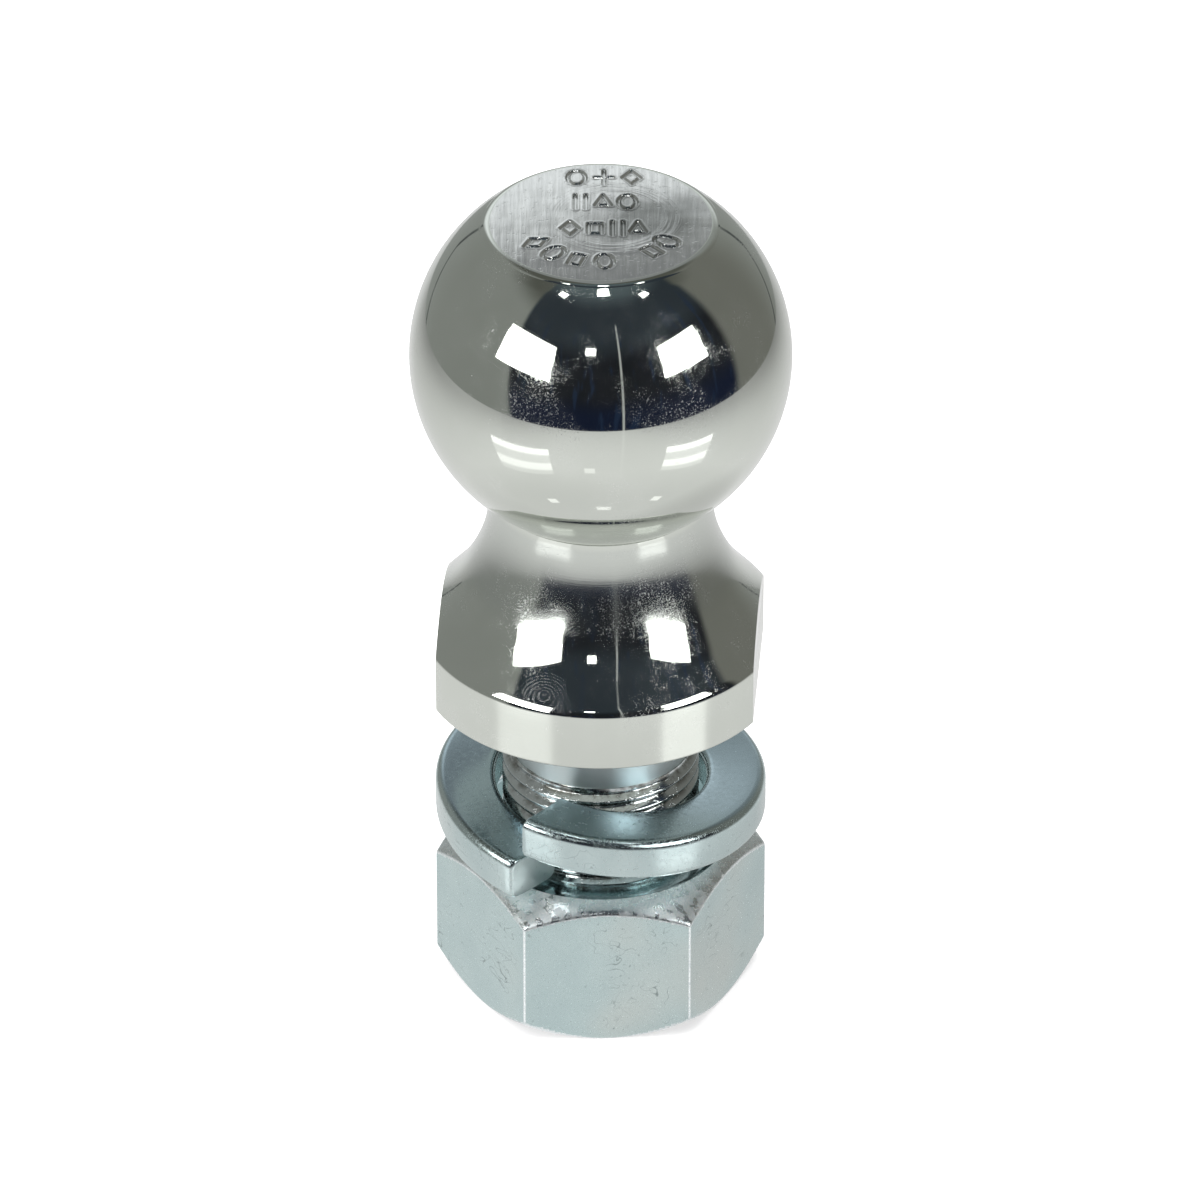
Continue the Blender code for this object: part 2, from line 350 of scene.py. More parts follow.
# =============================== materials ===============================
def rub_marks(nodes, place):
    """Clouds of fine rubbed specks: (specks, clouds), both 0 on clean metal."""
    clouds = nodes.ramp(nodes.noise(place, 120.0, 4.0, 0.7), 0.44, 0.64)
    specks = nodes.ramp(nodes.noise(place, 4800.0, 3.0, 0.75), 0.53, 0.66)
    specks = nodes.times(specks, nodes.plus(nodes.times(clouds, 0.95), 0.05))
    return specks, clouds


def finger_mark(nodes, turn, z):
    """A faint smudge of curved ridges low on the flare, left of the front."""
    across = nodes.times(nodes.plus(turn, math.radians(109)), 21 * MM)
    along = nodes.minus(z, SEAT_Z + 9.6 * MM)
    upright = nodes.times(nodes.times(along, along), 2.2)
    reach = nodes.math("SQRT", nodes.plus(nodes.times(across, across), upright))
    bent = nodes.plus(reach, nodes.times(along, 0.5))
    spacing = 0.55 * MM
    ridges = nodes.math("SINE", nodes.times(bent, 2 * math.pi / spacing))
    ridges = nodes.ramp(ridges, -0.2, 0.9)
    return nodes.times(ridges, nodes.ramp(reach, 2.2 * MM, 3.6 * MM, 1.0, 0.0))


def turning_rings(nodes, turn, radius, z):
    """Rings of constant height left by the turning tool, slightly uneven round the axis."""
    place = nodes.combine(nodes.times(turn, 0.9), nodes.times(radius, 900.0), nodes.times(z, 6200.0))
    return nodes.noise(place, 1.0, 3.0, 0.6)


def chrome_material():
    """Bright chrome with rubbed specks and scuffs, turning marks on the band and the neck, and
    painted shade in the fillet under the ball.
    """
    material, nodes, place = new_material("polished_chrome")
    turn, radius, z = polar(nodes, place)
    rubbed, clouds = rub_marks(nodes, place)
    finger = finger_mark(nodes, turn, z)
    scratch = nodes.plus(hairlines(nodes, place, 520.0, 0.007, 0.5, rare=0.60),
                         hairlines(nodes, place, 440.0, 0.006, -0.9, rare=0.60), clamp=True)
    rings = turning_rings(nodes, turn, radius, z)
    band = nodes.ramp(z, BAND_Z + 0.1 * MM, BAND_Z + 0.6 * MM, 1.0, 0.0)
    fillet = nodes.ramp(z, BALL_Z - 32.5 * MM, BALL_Z - 29 * MM, 0.0, 1.0)
    fillet = nodes.times(fillet, nodes.ramp(z, BALL_Z - 20.5 * MM, BALL_Z - 19.5 * MM, 1.0, 0.0))
    marks = nodes.math("MAXIMUM", nodes.times(band, 0.8), fillet)
    roughness = nodes.plus(nodes.times(rubbed, 0.30), 0.035)
    roughness = nodes.plus(roughness, nodes.times(marks, 0.13))
    relief = nodes.ramp(z, SEAT_Z - 0.6 * MM, SEAT_Z - 0.2 * MM, 1.0, 0.0)
    roughness = nodes.plus(roughness, nodes.times(relief, 0.27))
    roughness = nodes.plus(roughness, nodes.times(scratch, 0.2), clamp=True)
    tone = nodes.ramp(nodes.noise(place, 60.0, 3.0), 0.35, 0.75)
    colour = nodes.mix(tone, (0.620, 0.648, 0.598), (0.655, 0.684, 0.634))
    # painted shade: the fillet under the ball is coloured darker
    colour = nodes.mix(nodes.times(fillet, 0.55), colour, (0.545, 0.572, 0.545))
    colour = nodes.mix(relief, colour, (0.520, 0.580, 0.580))
    normal = nodes.bump(nodes.noise(place, 240.0, 2.0), 0.9e-6)
    normal = nodes.bump(nodes.times(rings, marks), 4.0e-6, normal)
    normal = nodes.bump(nodes.plus(rubbed, scratch), -0.5e-6, normal)
    haze = nodes.plus(nodes.times(rubbed, 1.2), nodes.times(clouds, 0.16))
    haze = nodes.plus(nodes.math("MAXIMUM", haze, nodes.times(finger, 0.8)), 0.02, clamp=True)
    finish_material(nodes, colour, roughness, normal, haze, 0.40)
    return material


def swirl_height(nodes, x, y):
    """Circular scratches of a tool that ran round on the flat, strongest on the right."""
    x = nodes.minus(x, SWIRL_CENTRE[0])
    y = nodes.minus(y, SWIRL_CENTRE[1])
    around = nodes.reach(x, y)
    turn = nodes.math("ARCTAN2", y, x)
    place = nodes.combine(nodes.times(turn, 1.1), nodes.times(around, 2600.0), 0.0)
    lines = nodes.noise(place, 1.0, 2.0, 0.6)
    ring = nodes.times(nodes.ramp(around, 5.8 * MM, 6.8 * MM),
                       nodes.ramp(around, 8.0 * MM, 9.2 * MM, 1.0, 0.0))
    side = nodes.ramp(x, -7.0 * MM, 3.0 * MM, 0.25, 1.0)
    return nodes.times(lines, nodes.times(ring, side))


def ground_material():
    """The ball's top flat: ground along Y, gently uneven, with a tool's swirls, random dents, and
    painted light and shade.
    """
    material, nodes, place = new_material("ground_chrome")
    x, y, _ = nodes.xyz(place)
    lean = math.radians(-12)
    grain = nodes.noise(nodes.stretch(place, 3600.0, 190.0, 1.0, lean), 1.0, 3.0, 0.65)
    coarse = nodes.noise(nodes.stretch(place, 1100.0, 90.0, 1.0, lean), 1.0, 2.0, 0.6)
    # the flat shades like a shallow dome
    dome = nodes.plus(nodes.times(x, x), nodes.times(y, y))
    dome = nodes.times(dome, 1.0 / FLAT_RIM_R ** 2)
    hollows = nodes.noise(place, 150.0, 2.0, 0.5)
    dents = nodes.ramp(nodes.noise(place, 1500.0, 2.0, 0.7), 0.60, 0.72)
    swirl = swirl_height(nodes, x, y)
    # painted light: the flat is coloured lighter toward its rear left
    painted_light = nodes.ramp(nodes.minus(y, nodes.times(x, 0.55)), -12 * MM, 9 * MM)
    painted_light_colour = nodes.mix(painted_light, (0.62, 0.63, 0.615), (0.74, 0.75, 0.73))
    colour = nodes.mix(nodes.ramp(coarse, 0.32, 0.68, 0.0, 0.45), painted_light_colour, (0.50, 0.51, 0.50))
    # painted shade: the flat is coloured much darker round a spot right of its middle, in place of
    # the dark it mirrors
    off_x = nodes.times(nodes.minus(x, 6.0 * MM), 0.8)
    off_y = nodes.minus(y, 0.5 * MM)
    painted_shade_spot = nodes.reach(off_x, off_y)
    painted_shade_spot = nodes.plus(painted_shade_spot, nodes.times(nodes.minus(hollows, 0.5), 8.0 * MM))
    painted_shade_spot = nodes.ramp(painted_shade_spot, 2.5 * MM, 8.5 * MM, 0.8, 0.0)
    colour = nodes.mix(painted_shade_spot, colour, (0.27, 0.28, 0.27))
    roughness = nodes.ramp(grain, 0.3, 0.7, 0.12, 0.24)
    normal = nodes.bump(dome, -480.0e-6)
    normal = nodes.bump(hollows, 150.0e-6, normal)
    normal = nodes.bump(nodes.plus(grain, nodes.times(coarse, 3.0)), 18.0e-6, normal)
    normal = nodes.bump(swirl, 75.0e-6, normal)
    normal = nodes.bump(dents, -12.0e-6, normal)
    finish_material(nodes, colour, roughness, normal)
    return material


def thread_material():
    """Chrome over a rolled thread: bright, with nicks, and painted shade in patches toward the roots.
    """
    material, nodes, place = new_material("chromed_thread")
    _, radius, _ = polar(nodes, place)
    depth = nodes.ramp(radius, THREAD_ROOT_R, THREAD_R)
    patches = nodes.noise(place, 420.0, 4.0, 0.7)
    # painted shade: darker in patches toward the thread's roots
    root_shade = nodes.times(nodes.minus(1.0, depth), nodes.ramp(patches, 0.4, 0.65))
    nicks = nodes.ramp(nodes.noise(place, 1500.0, 3.0, 0.7), 0.56, 0.72)
    colour = nodes.mix(root_shade, (0.60, 0.645, 0.645), (0.22, 0.22, 0.20))
    roughness = nodes.plus(nodes.times(nicks, 0.25), 0.11)
    normal = nodes.bump(patches, 14.0e-6)
    normal = nodes.bump(nicks, -16.0e-6, normal)
    finish_material(nodes, colour, roughness, normal)
    return material


def zinc_material(name, light, dark, roughness, grain, grain_depth,
                  scratches=1.0, pink=0.0, top_shade=0.0):
    """Zinc plate: pale blue-grey, clouded, faintly grained, with hair-like scratches."""
    material, nodes, place = new_material(name)
    clouds = nodes.noise(place, 110.0, 4.0, 0.55)
    tint = nodes.ramp(nodes.noise(place, 45.0, 2.0, 0.5), 0.45, 0.75)
    colour = nodes.mix(nodes.ramp(clouds, 0.3, 0.7), dark, light)
    warm = tuple(channel * factor for channel, factor in zip(light, (1.10, 0.98, 0.94)))
    colour = nodes.mix(nodes.times(tint, pink), colour, warm)
    marks = nodes.plus(hairlines(nodes, place, 520.0, 0.014, 0.4, 4.0, 0.57),
                       hairlines(nodes, place, 430.0, 0.010, 1.9, 5.0, 0.57), clamp=True)
    marks = nodes.times(marks, scratches)
    stain = tuple(channel * 0.42 for channel in light)
    colour = nodes.mix(nodes.times(marks, 0.85), colour, stain)
    fine = nodes.noise(place, grain, 3.0, 0.65)
    spots = nodes.ramp(nodes.noise(place, 1900.0, 1.0, 0.5), 0.70, 0.76)
    colour = nodes.mix(nodes.times(spots, 0.35), colour, stain)
    # painted shade: what faces up is coloured darker and bluer
    _, _, facing_up = nodes.xyz(nodes.add("ShaderNodeNewGeometry", out=1))
    top_shade_mask = nodes.times(nodes.ramp(facing_up, 0.75, 0.97), top_shade)
    top_shade_colour = tuple(channel * share for channel, share in zip(light, (0.63, 0.68, 0.74)))
    colour = nodes.mix(top_shade_mask, colour, top_shade_colour)
    rough = nodes.ramp(fine, 0.3, 0.7, roughness - 0.05, roughness + 0.07)
    normal = nodes.bump(clouds, 25.0e-6)
    normal = nodes.bump(fine, grain_depth, normal)
    normal = nodes.bump(marks, -4.0e-6, normal)
    finish_material(nodes, colour, rough, normal)
    return material


def sparkle_material():
    """Worn and rough zinc on the nut's chamfer and corners: fine bright and dark facets."""
    material, nodes, place = new_material("rough_zinc")
    cells = nodes.tree.nodes.new("ShaderNodeTexVoronoi")
    cells.inputs["Scale"].default_value = 5200.0
    nodes.tree.links.new(place, cells.inputs["Vector"])
    lumps = nodes.noise(place, 9000.0, 2.0, 0.6)
    colour = nodes.mix(nodes.ramp(lumps, 0.35, 0.65), (0.66, 0.75, 0.77), (0.97, 0.99, 0.98))
    rough = nodes.ramp(nodes.noise(place, 900.0, 2.0), 0.35, 0.65, 0.22, 0.38)
    normal = nodes.bump(cells.outputs["Distance"], 5.0e-6)
    normal = nodes.bump(lumps, 6.0e-6, normal)
    finish_material(nodes, colour, rough, normal)
    return material


# =============================== pieces ===============================
def polygon_mark(sides, turn=0.0):
    """One closed stroke, a unit across."""
    angles = [turn + 2 * math.pi * i / sides for i in range(sides + 1)]
    return [[(math.cos(angle) * 0.5, math.sin(angle) * 0.5) for angle in angles]]


def stamped_marks():
    """Plain geometric punch marks in three rows and an arc: (strokes, place, turn)."""
    ring = polygon_mark(14)
    square = polygon_mark(4, math.pi / 4)
    triangle = polygon_mark(3, math.pi / 2)
    diamond = polygon_mark(4)
    cross = [[(-0.5, 0), (0.5, 0)], [(0, -0.5), (0, 0.5)]]
    bars = [[(-0.3, -0.5), (-0.3, 0.5)], [(0.3, -0.5), (0.3, 0.5)]]
    rows = [(10.6, ((ring, -3.0), (cross, 0.4), (diamond, 3.8))),
            (4.7, ((bars, -2.5), (triangle, 0.3), (ring, 3.3))),
            (-1.6, ((diamond, -3.8), (square, -0.7), (bars, 2.1), (triangle, 4.6)))]
    placed = [(mark, (x * MM, y * MM), 0.0) for y, marks in rows for mark, x in marks]
    arc_marks = (diamond, ring, square, ring, square, ring)
    for mark, degrees in zip(arc_marks, (-58, -38, -18, 3, 42, 60)):
        angle = math.radians(degrees - 90)
        spot = (STAMP_ARC_R * math.cos(angle), STAMP_ARC_R * math.sin(angle))
        placed.append((mark, spot, math.radians(degrees)))
    return placed


def stamp_strokes():
    """The marks' strokes as an array of segments (x0, y0, x1, y1)."""
    segments = []
    for mark, (cx, cy), turn in stamped_marks():
        cos, sin = math.cos(turn), math.sin(turn)
        for stroke in mark:
            sized = [(x * STAMP_WIDTH, y * STAMP_HEIGHT) for x, y in stroke]
            points = [(cx + x * cos - y * sin, cy + x * sin + y * cos) for x, y in sized]
            segments += [(*a, *b) for a, b in zip(points, points[1:])]
    return np.array(segments)


def stroke_distance(points, segments):
    """Distance from each point to the nearest stroke."""
    nearest = np.full(len(points), 1.0)
    for x0, y0, x1, y1 in segments:
        line = np.array([x1 - x0, y1 - y0])
        offset = points - [x0, y0]
        share = np.clip(offset @ line / (line @ line), 0, 1)
        nearest = np.minimum(nearest, np.hypot(*(offset - share[:, None] * line).T))
    return nearest


def top_points(radius):
    """Points that fill the top flat, close together round the stamped strokes."""
    segments = stamp_strokes()
    coarse_step, fine_step = 0.9 * MM, 0.11 * MM
    reach = np.arange(-radius, radius, fine_step)
    grid = np.stack(np.meshgrid(reach, reach), -1).reshape(-1, 2)
    grid = grid[np.hypot(*grid.T) < radius - 0.15 * MM]
    distance = stroke_distance(grid, segments)
    near = STAMP_HALF_WIDTH * 2.4
    fine = grid[distance < near]
    reach = np.arange(-radius, radius, coarse_step)
    grid = np.stack(np.meshgrid(reach, reach), -1).reshape(-1, 2)
    grid = grid[np.hypot(*grid.T) < radius - 0.6 * MM]
    coarse = grid[stroke_distance(grid, segments) >= near]
    return np.concatenate([fine, coarse]), segments


def stamp_height(distance):
    """Pressed-in groove with a low burr along both sides."""
    share = distance / STAMP_HALF_WIDTH
    groove = -STAMP_DEPTH * (1 - np.clip(share, 0, 1) ** 2) ** 1.5
    burr = 0.035 * MM * np.exp(-((share - 1.25) / 0.4) ** 2)
    return groove + burr


def crown_drop(radius):
    """How far the flat has fallen at this radius."""
    return CROWN * (radius / FLAT_RIM_R) ** 4


def flare_profile(start):
    """Hollow flare from the neck down to the rolled edge above the band."""
    turn, cone, rolled = FLARE_NECK_END, FLARE_CONE_TILT, FLARE_ROLL_END
    edge = (PEDESTAL_R - FLARE_EDGE_R, BAND_Z)
    offset = FLARE_ROLL_R - FLARE_EDGE_R
    roll = (edge[0] - offset * math.cos(rolled), edge[1] - offset * math.sin(rolled))
    cone_r = roll[0] + FLARE_ROLL_R * math.cos(cone)
    cone_z = roll[1] + FLARE_ROLL_R * math.sin(cone)
    main_r = NECK_R + FLARE_NECK_R * (1 - math.cos(turn)) + FLARE_MAIN_R * math.cos(turn)
    main_z = (cone_z + (cone_r - main_r + FLARE_MAIN_R * math.cos(cone)) / math.tan(cone)
              + FLARE_MAIN_R * math.sin(cone))
    neck_z = main_z + (FLARE_NECK_R - FLARE_MAIN_R) * math.sin(turn)
    points = straight(start, (NECK_R, neck_z), 2)
    points += arc(NECK_R + FLARE_NECK_R, neck_z, FLARE_NECK_R, math.pi, math.pi + turn, 20)[1:]
    points += arc(main_r, main_z, FLARE_MAIN_R, math.pi + turn, math.pi + cone, 34)[1:]
    points += straight(points[-1], (cone_r, cone_z), 8)
    points += arc(*roll, FLARE_ROLL_R, cone, rolled, 10)[1:]
    points += arc(*edge, FLARE_EDGE_R, rolled, 0, 10)[1:]
    return points


def forging_profile():
    """Outer side of the forging from the top flat's rim down to the relief neck."""
    edge = RIM_ROUND
    edge_z = TOP_FLAT_RISE - CROWN - edge
    edge_r = math.sqrt((BALL_R - edge) ** 2 - edge_z ** 2)
    tangent = math.atan2(edge_z, edge_r)
    points = arc(edge_r, BALL_Z + edge_z, edge, math.pi / 2, RIM_LIP, 14)
    neck_angle = -math.acos((NECK_R + NECK_ROOT_ROUND) / (BALL_R + NECK_ROOT_ROUND))
    points += arc(0, BALL_Z, BALL_R, tangent - math.radians(3), neck_angle, 76)
    root_r = NECK_R + NECK_ROOT_ROUND
    root_z = BALL_Z + (BALL_R + NECK_ROOT_ROUND) * math.sin(neck_angle)
    points += arc(root_r, root_z, NECK_ROOT_ROUND, neck_angle + math.pi, math.pi, 6)[1:]
    points += flare_profile(points[-1])
    points += straight(points[-1], (PEDESTAL_R, SEAT_Z + FOOT_ROUND), 4)
    points += arc(PEDESTAL_R - FOOT_ROUND, SEAT_Z + FOOT_ROUND, FOOT_ROUND, 0, -math.pi / 2, 6)[1:]
    inner = RELIEF_R + RELIEF_FILLET
    points += straight(points[-1], (inner, SEAT_Z), 3)
    points += arc(inner, SEAT_Z - RELIEF_FILLET, RELIEF_FILLET, math.pi / 2, math.pi, 8)[1:]
    points += straight(points[-1], (RELIEF_R, THREAD_TOP_Z - 1 * MM), 3)
    points += [(0, THREAD_TOP_Z - 1 * MM)]
    return points


def make_forging(chrome, ground):
    bm = bmesh.new()
    segments = 288
    angles = [2 * math.pi * i / segments for i in range(segments)]
    profile = forging_profile()
    rings = lathe(bm, profile, angles)
    rim = rings[0]
    radius = profile[0][0]
    inside, strokes = top_points(radius)
    rim_points = [(vert.co.x, vert.co.y) for vert in rim]
    flat = [Vector(point) for point in rim_points + inside.tolist()]
    edges = [(i, (i + 1) % segments) for i in range(segments)]
    points, _, triangles, *_ = delaunay_2d_cdt(flat, edges, [], 1, 1e-7)
    xy = np.array([(point.x, point.y) for point in points])
    heights = stamp_height(stroke_distance(xy, strokes))
    away = np.hypot(*xy.T)
    drop = crown_drop(away) - crown_drop(radius)
    top = []
    for index, (x, y) in enumerate(xy):
        if index < segments:
            top.append(rim[index])
        else:
            edge_fade = min(1.0, (radius - away[index]) / (0.5 * MM))
            top.append(bm.verts.new((x, y, profile[0][1] - drop[index] + heights[index] * edge_fade)))
    for triangle in triangles:
        bm.faces.new([top[i] for i in triangle]).material_index = 1
    for side in (1, -1):
        press_flat(bm, FLAT_AXIS * side, FLAT_D, SEAT_Z - 0.1 * MM, BALL_Z - 22 * MM)
    bmesh.ops.recalc_face_normals(bm, faces=bm.faces[:])
    return finish_mesh("hitch_ball", bm, [chrome, ground], sharp_degrees=7)


def make_thread(material):
    crest, root = THREAD_R, THREAD_ROOT_R
    profile = [(0.0, crest), (0.10, crest), (0.16, crest - 0.08 * MM), (0.44, root + 0.10 * MM),
               (0.50, root), (0.60, root), (0.66, root + 0.10 * MM), (0.94, crest - 0.08 * MM)]
    end_z = shank_low.z

    def limit(z, r):
        runout = root + (crest - root) * max(THREAD_TOP_Z - z, 0) / (1.1 * MM)
        chamfer = crest - END_CHAMFER + max(z - end_z, 0)
        return min(r, runout, chamfer)

    bm = bmesh.new()
    helix_solid(bm, profile, end_z, THREAD_TOP_Z, 96, limit)
    return finish_mesh("shank_thread", bm, [material], sharp_degrees=50)


def washer_section(inset):
    """The wire's outline (r, z below its top); inset shrinks it, for the worn cut ends."""
    outer, inner, deep = WASHER_OUT_R - inset, WASHER_IN_R + inset, WASHER_THICK
    rim, top, bottom = 1.2 * MM, 1.0 * MM, 1.0 * MM
    points = arc(outer - rim, -rim - inset, rim, 0, math.pi / 2, 10)
    points += straight(points[-1], (inner + top, -inset), 5)[:-1]
    points += arc(inner + top, -top - inset, top, math.pi / 2, math.pi, 8)
    points += arc(inner + bottom, bottom - deep + inset, bottom, math.pi, 1.5 * math.pi, 6)
    points += straight(points[-1], (outer - bottom, inset - deep), 5)[:-1]
    points += arc(outer - bottom, bottom - deep + inset, bottom, 1.5 * math.pi, 2 * math.pi, 6)
    return points


def make_washer(finish, cut_finish):
    bm = bmesh.new()
    middle = (WASHER_OUT_R + WASHER_IN_R) / 2
    width = WASHER_OUT_R - WASHER_IN_R
    sweep = 2 * math.pi - WASHER_GAP
    edge = 0.28 * MM
    edge_share = edge / (sweep * middle)
    steps = 200
    stations = [(0.0, edge), (edge_share * 0.35, edge * 0.35), (edge_share, 0.0)]
    stations += [(edge_share + (1 - 2 * edge_share) * i / steps, 0.0) for i in range(1, steps)]
    stations += [(1 - edge_share, 0.0), (1 - edge_share * 0.35, edge * 0.35), (1.0, edge)]
    rings = []
    for along, inset in stations:
        travelled = along * sweep
        lean = math.sin(travelled - WASHER_LEAN_PHASE) + math.sin(WASHER_LEAN_PHASE)
        top = WASHER_HIGH_TOP - WASHER_RISE * along - WASHER_LEAN * lean
        ring = []
        for r, z in washer_section(inset):
            angle = WASHER_START + travelled - WASHER_SKEW * (r - middle) / width
            ring.append(bm.verts.new((r * math.cos(angle), r * math.sin(angle), top + z)))
        rings.append(ring)
    count = len(rings[0])
    for near, far in zip(rings, rings[1:]):
        for i in range(count):
            j = (i + 1) % count
            bm.faces.new((near[i], near[j], far[j], far[i]))
    for ring in (rings[0], rings[-1]):
        bm.faces.new(ring).material_index = 1
    bmesh.ops.recalc_face_normals(bm, faces=bm.faces[:])
    return finish_mesh("spring_washer", bm, [finish, cut_finish], sharp_degrees=32)


def soft_min(values, blend):
    """The smallest value, rounded over where two are nearly equal."""
    low = min(values)
    return low - blend * math.log(sum(math.exp((low - value) / blend) for value in values))


def nut_radius(angle, z, low, high):
    """Outer side of the nut: six flats and two chamfer cones, with worn edges between them."""
    flats = []
    for side in range(6):
        share = math.cos(angle - NUT_TURN - math.radians(60 * side + 30))
        if share > 0.3:
            flats.append(NUT_FLAT_D / share)
    hexagon = soft_min(flats, NUT_CORNER_WEAR)
    upper = NUT_FACE_R + (high - z) / math.tan(NUT_CHAMFER)
    lower = NUT_FOOT_R + (z - low) / math.tan(NUT_FOOT_CHAMFER)
    return soft_min([soft_min([hexagon, upper], NUT_CHAMFER_WEAR), lower], NUT_FOOT_WEAR)


def is_corner(normal):
    """True between two of the nut's flats."""
    turn = math.degrees(math.atan2(normal.y, normal.x) - NUT_TURN) % 60
    return abs(turn - 30) > 4


def make_nut(facet, face_finish, rough, thread_finish):
    """Hexagon with chamfered ends and softly worn edges, bored for its thread."""
    low, high = nut_low.z, nut_high.z
    offsets = [0, 0.25, 0.5, 0.8, 1.2, 1.8, 2.6, 4.0] + [4.0 + 26.0 * i / 13 for i in range(1, 14)]
    degrees = sorted({round(60 * side + sign * offset, 4) % 360 for side in range(6)
                      for offset in offsets for sign in (1, -1)})
    angles = [math.radians(d) + NUT_TURN for d in degrees]
    heights = [high - NUT_TOP_BAND * (i / 36) ** 1.3 for i in range(37)]
    middle = heights[-1] - low - NUT_FOOT_BAND
    heights += [low + NUT_FOOT_BAND + middle * (1 - i / 10) for i in range(1, 10)]
    heights += [low + NUT_FOOT_BAND * (1 - i / 26) ** 1.3 for i in range(27)]
    bm = bmesh.new()
    rings = [[bm.verts.new((0, 0, high))]]
    for r in (NUT_FACE_R - 0.5 * MM, NUT_FACE_R - 0.28 * MM):
        rings.append(ring_of(bm, [r] * len(angles), high, angles))
    for z in heights:
        radii = [nut_radius(a, z, low, high) for a in angles]
        sink = 0.05 * MM if z == high else 0.0
        rings.append(ring_of(bm, radii, z - sink, angles))
    rings.append([bm.verts.new((0, 0, low))])
    skin_rings(bm, rings)
    bmesh.ops.recalc_face_normals(bm, faces=bm.faces[:])
    for face in bm.faces:
        if abs(face.normal.z) > 0.97:
            face.material_index = 1
        elif face.normal.z > 0.10 or is_corner(face.normal):
            face.material_index = 2
    nut = finish_mesh("plated_nut", bm, [facet, face_finish, rough, thread_finish], NUT_SHARP)
    cutter_bm = bmesh.new()
    crest, root = THREAD_R + NUT_PLAY, THREAD_ROOT_R + NUT_PLAY
    thread = [(0.0, crest), (0.10, crest), (0.50, root), (0.60, root)]

    def limit(z, r):
        mouth = NUT_MOUTH_R - min(z - low, high - z)
        return min(max(r, mouth), NUT_MOUTH_R)

    helix_solid(cutter_bm, thread, low - MM, high + MM, 64, limit)
    cutter = finish_mesh("nut_bore_cutter", cutter_bm, [thread_finish], sharp_degrees=30)
    cut = nut.modifiers.new("bore", "BOOLEAN")
    cut.object = cutter
    cut.solver = "EXACT"
    bpy.context.view_layer.update()
    depsgraph = bpy.context.evaluated_depsgraph_get()
    bored = bpy.data.meshes.new_from_object(nut.evaluated_get(depsgraph), depsgraph=depsgraph)
    nut.modifiers.clear()
    nut.data = bored
    nut.data.set_sharp_from_angle(angle=math.radians(NUT_SHARP))
    bpy.data.objects.remove(cutter)
    return nut


# =============================== stage ===============================
def glow_material(name, colour, strength):
    material = bpy.data.materials.new(name)
    material.use_nodes = True
    tree = material.node_tree
    tree.nodes.clear()
    nodes = Nodes(tree)
    glow = nodes.add("ShaderNodeEmission", {"Color": (*colour, 1.0), "Strength": strength})
    output = tree.nodes.new("ShaderNodeOutputMaterial")
    tree.links.new(glow, output.inputs["Surface"])
    return material, nodes, glow


def stage_mesh(name, bm, material):
    """A mesh that belongs to the studio, not to the part."""
    thing = mesh_object(name, bm, [material])
    return thing


def plane(name, width, height, material):
    bm = bmesh.new()
    bmesh.ops.create_grid(bm, x_segments=1, y_segments=1, size=0.5)
    bm.transform(Matrix.Diagonal((width, height, 1, 1)))
    return stage_mesh(name, bm, material)


def disc(name, radius, material):
    bm = bmesh.new()
    bmesh.ops.create_circle(bm, cap_ends=True, segments=180, radius=radius)
    return stage_mesh(name, bm, material)


def direction(azimuth, elevation):
    """Unit vector from the ball; azimuth 0 points at the camera's side, 90 to +X."""
    a, e = math.radians(azimuth), math.radians(elevation)
    return Vector((math.sin(a) * math.cos(e), -math.cos(a) * math.cos(e), math.sin(e)))


def lamp_card(name, corners, distance, strength, bars=False):
    """A glowing card through four directions from the ball, that the camera doesn't see.

    The corners go round from the upper left; bars makes it two bright bars, like tubes."""
    material, nodes, glow = glow_material(name, (1.0, 1.0, 1.0), strength)
    if bars:
        _, height, _ = nodes.xyz(nodes.add("ShaderNodeTexCoord", out=2))
        low = nodes.math("ABSOLUTE", nodes.minus(height, 0.12))
        low = nodes.ramp(low, 0.06, 0.15, 1.0, 0.0)
        high = nodes.math("ABSOLUTE", nodes.minus(height, 0.68))
        high = nodes.ramp(high, 0.08, 0.20, 1.0, 0.0)
        bar = nodes.ramp(nodes.math("MAXIMUM", low, high), 0.0, 1.0, strength * 0.30, strength)
        nodes.tree.links.new(bar, glow.node.inputs["Strength"])
    bm = bmesh.new()
    uv = bm.loops.layers.uv.new("height")
    verts = [bm.verts.new(Vector((0, 0, BALL_Z)) + direction(*way) * distance) for way in corners]
    face = bm.faces.new(verts)
    for loop, place in zip(face.loops, ((0, 1), (1, 1), (1, 0), (0, 0))):
        loop[uv].uv = place
    card = stage_mesh(name, bm, material)
    card.visible_camera = False
    card.visible_shadow = False
    return card


def lamp(name, azimuth, elevation, half_width, half_height, distance, strength, bars=False):
    """An upright rectangular card; the half sizes are degrees as seen from the ball."""
    wide = half_width / math.cos(math.radians(elevation))
    top, bottom = elevation + half_height, elevation - half_height
    left, right = azimuth - wide, azimuth + wide
    corners = ((left, top), (right, top), (right, bottom), (left, bottom))
    return lamp_card(name, corners, distance, strength, bars)


def studio_walls(nodes, azimuth, elevation, off_back):
    """Grey walls under a darker ceiling."""
    left_wall, right_wall = (0.290, 0.300, 0.288), (0.202, 0.202, 0.186)
    back_wall, ceiling = (0.330, 0.345, 0.335), (0.11, 0.113, 0.10)
    walls = nodes.mix(nodes.ramp(azimuth, -10.0, 10.0), left_wall, right_wall)
    walls = nodes.mix(nodes.ramp(off_back, 20.0, 60.0, 1.0, 0.0), walls, back_wall)
    return nodes.mix(nodes.ramp(elevation, 40.0, 56.0), walls, ceiling)


